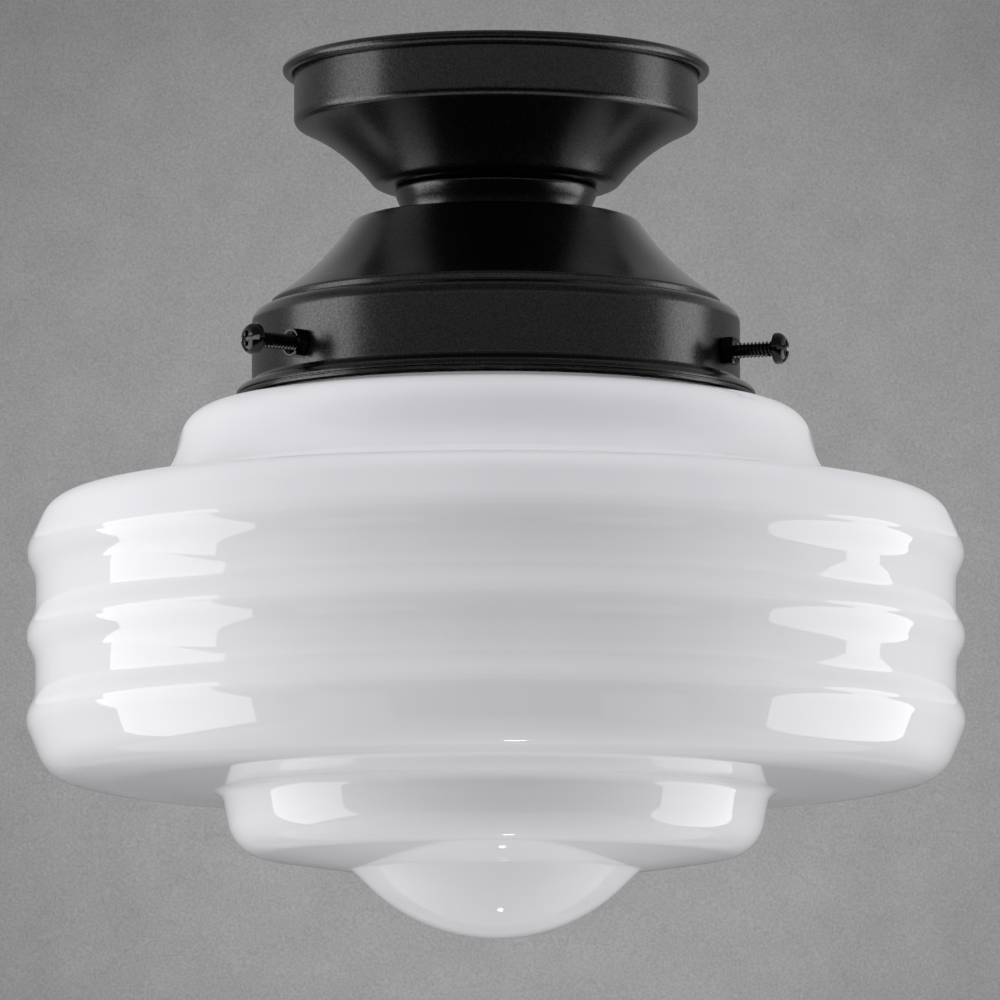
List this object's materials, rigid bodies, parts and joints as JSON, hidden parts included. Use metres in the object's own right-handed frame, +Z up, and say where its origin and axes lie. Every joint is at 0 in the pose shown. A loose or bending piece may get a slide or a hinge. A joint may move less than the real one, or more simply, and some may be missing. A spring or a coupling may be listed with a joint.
{
  "type": "batten light",
  "caption": "Close-to-ceiling batten light: black spun canopy and gallery on a batten lampholder, with a stepped, ribbed opal glass shade held by clamp screws",
  "frame": {"origin": "centre of the cable entry on the ceiling plane", "axes": "+Z up into the ceiling and along the axis of revolution, the picture looks along +Y, +X to the right in the picture"},
  "size_m": [0.3002, 0.3002, 0.282],
  "materials": {
    "black_metal": "satin black powder coat with a fine grain",
    "black_hardware": "glossy black plating",
    "opal_glass": "glossy blown white opal glass",
    "tip_rubber": "soft black",
    "plated_steel": "zinc plated",
    "holder_moulding": "white thermoset moulding",
    "ring_moulding": "white thermoset moulding",
    "brass": "plain turned and pressed brass",
    "washer_fibre": "red vulcanised fibre",
    "lamp_cap_metal": "rolled thread, dull",
    "lamp_vitrite": "black glass collar",
    "lamp_plastic": "fine matt white",
    "plate_aluminium": "white masked board",
    "lamp_diffuser": "frosted white diffuser"
  },
  "bodies": {
    "fitting": {"canopy": "black_metal", "neck_collar": "black_metal", "gallery": "black_metal", "gallery_nuts": "black_hardware", "glass_shade": "opal_glass", "clamp_bush": "plated_steel", "clamp_ring_nut": "plated_steel", "holder_base": "holder_moulding", "holder_body": "holder_moulding", "body_screws": "plated_steel", "contact_insulator": "holder_moulding", "line_terminal": "brass", "neutral_terminal": "brass", "loop_terminal": "brass", "terminal_screws": "plated_steel", "shell_contact": "brass", "centre_contact": "brass"},
    "tip_1": {"screw_tip_1": "tip_rubber"},
    "screw_1": {"clamp_screw_1": "black_hardware"},
    "tip_2": {"screw_tip_2": "tip_rubber"},
    "screw_2": {"clamp_screw_2": "black_hardware"},
    "tip_3": {"screw_tip_3": "tip_rubber"},
    "screw_3": {"clamp_screw_3": "black_hardware"},
    "washer": {"friction_washer": "washer_fibre"},
    "ring": {"shade_ring": "ring_moulding"},
    "lamp_guide": {"lamp_contact": "brass"},
    "lamp": {"lamp_insulator": "lamp_vitrite", "lamp_cap": "lamp_cap_metal", "lamp_body": "lamp_plastic", "led_plate": "plate_aluminium", "lamp_globe": "lamp_diffuser"}
  },
  "joints": [
    {"name": "screw_1_travel", "type": "slide", "parent": "fitting", "child": "tip_1", "axis": [-0.1392, 0.9903, 0], "range_m": [0, 0.00571]},
    {"name": "screw_1_turn", "type": "hinge", "parent": "tip_1", "child": "screw_1", "pos_m": [-0.013, 0.0925, -0.097], "axis": [-0.1392, 0.9903, 0], "range_deg": [0, 1620]},
    {"name": "screw_2_travel", "type": "slide", "parent": "fitting", "child": "tip_2", "axis": [-0.788, -0.6157, 0], "range_m": [0, 0.00571]},
    {"name": "screw_2_turn", "type": "hinge", "parent": "tip_2", "child": "screw_2", "pos_m": [-0.07364, -0.05753, -0.097], "axis": [-0.788, -0.6157, 0], "range_deg": [0, 1620]},
    {"name": "screw_3_travel", "type": "slide", "parent": "fitting", "child": "tip_3", "axis": [0.9272, -0.3746, 0], "range_m": [0, 0.00571]},
    {"name": "screw_3_turn", "type": "hinge", "parent": "tip_3", "child": "screw_3", "pos_m": [0.08664, -0.035, -0.097], "axis": [0.9272, -0.3746, 0], "range_deg": [0, 1620]},
    {"name": "ring_travel", "type": "slide", "parent": "fitting", "child": "washer", "axis": [0, 0, -1], "range_m": [0, 0.0175]},
    {"name": "ring_turn", "type": "hinge", "parent": "washer", "child": "ring", "pos_m": [0, 0, -0.0592], "axis": [0, 0, -1], "range_deg": [0, 2520]},
    {"name": "lamp_travel", "type": "slide", "parent": "fitting", "child": "lamp_guide", "axis": [0, 0, -1], "range_m": [0, 0.02177]},
    {"name": "lamp_turn", "type": "hinge", "parent": "lamp_guide", "child": "lamp", "pos_m": [0, 0, -0.06], "axis": [0, 0, -1], "range_deg": [0, 2160]}
  ],
  "couplings": [
    {"joint": "screw_1_turn", "follows": "screw_1_travel", "rad_per_m": 4947.4},
    {"joint": "screw_2_turn", "follows": "screw_2_travel", "rad_per_m": 4947.4},
    {"joint": "screw_3_turn", "follows": "screw_3_travel", "rad_per_m": 4947.4},
    {"joint": "ring_turn", "follows": "ring_travel", "rad_per_m": 2513.3},
    {"joint": "lamp_turn", "follows": "lamp_travel", "rad_per_m": 1731.4}
  ]
}
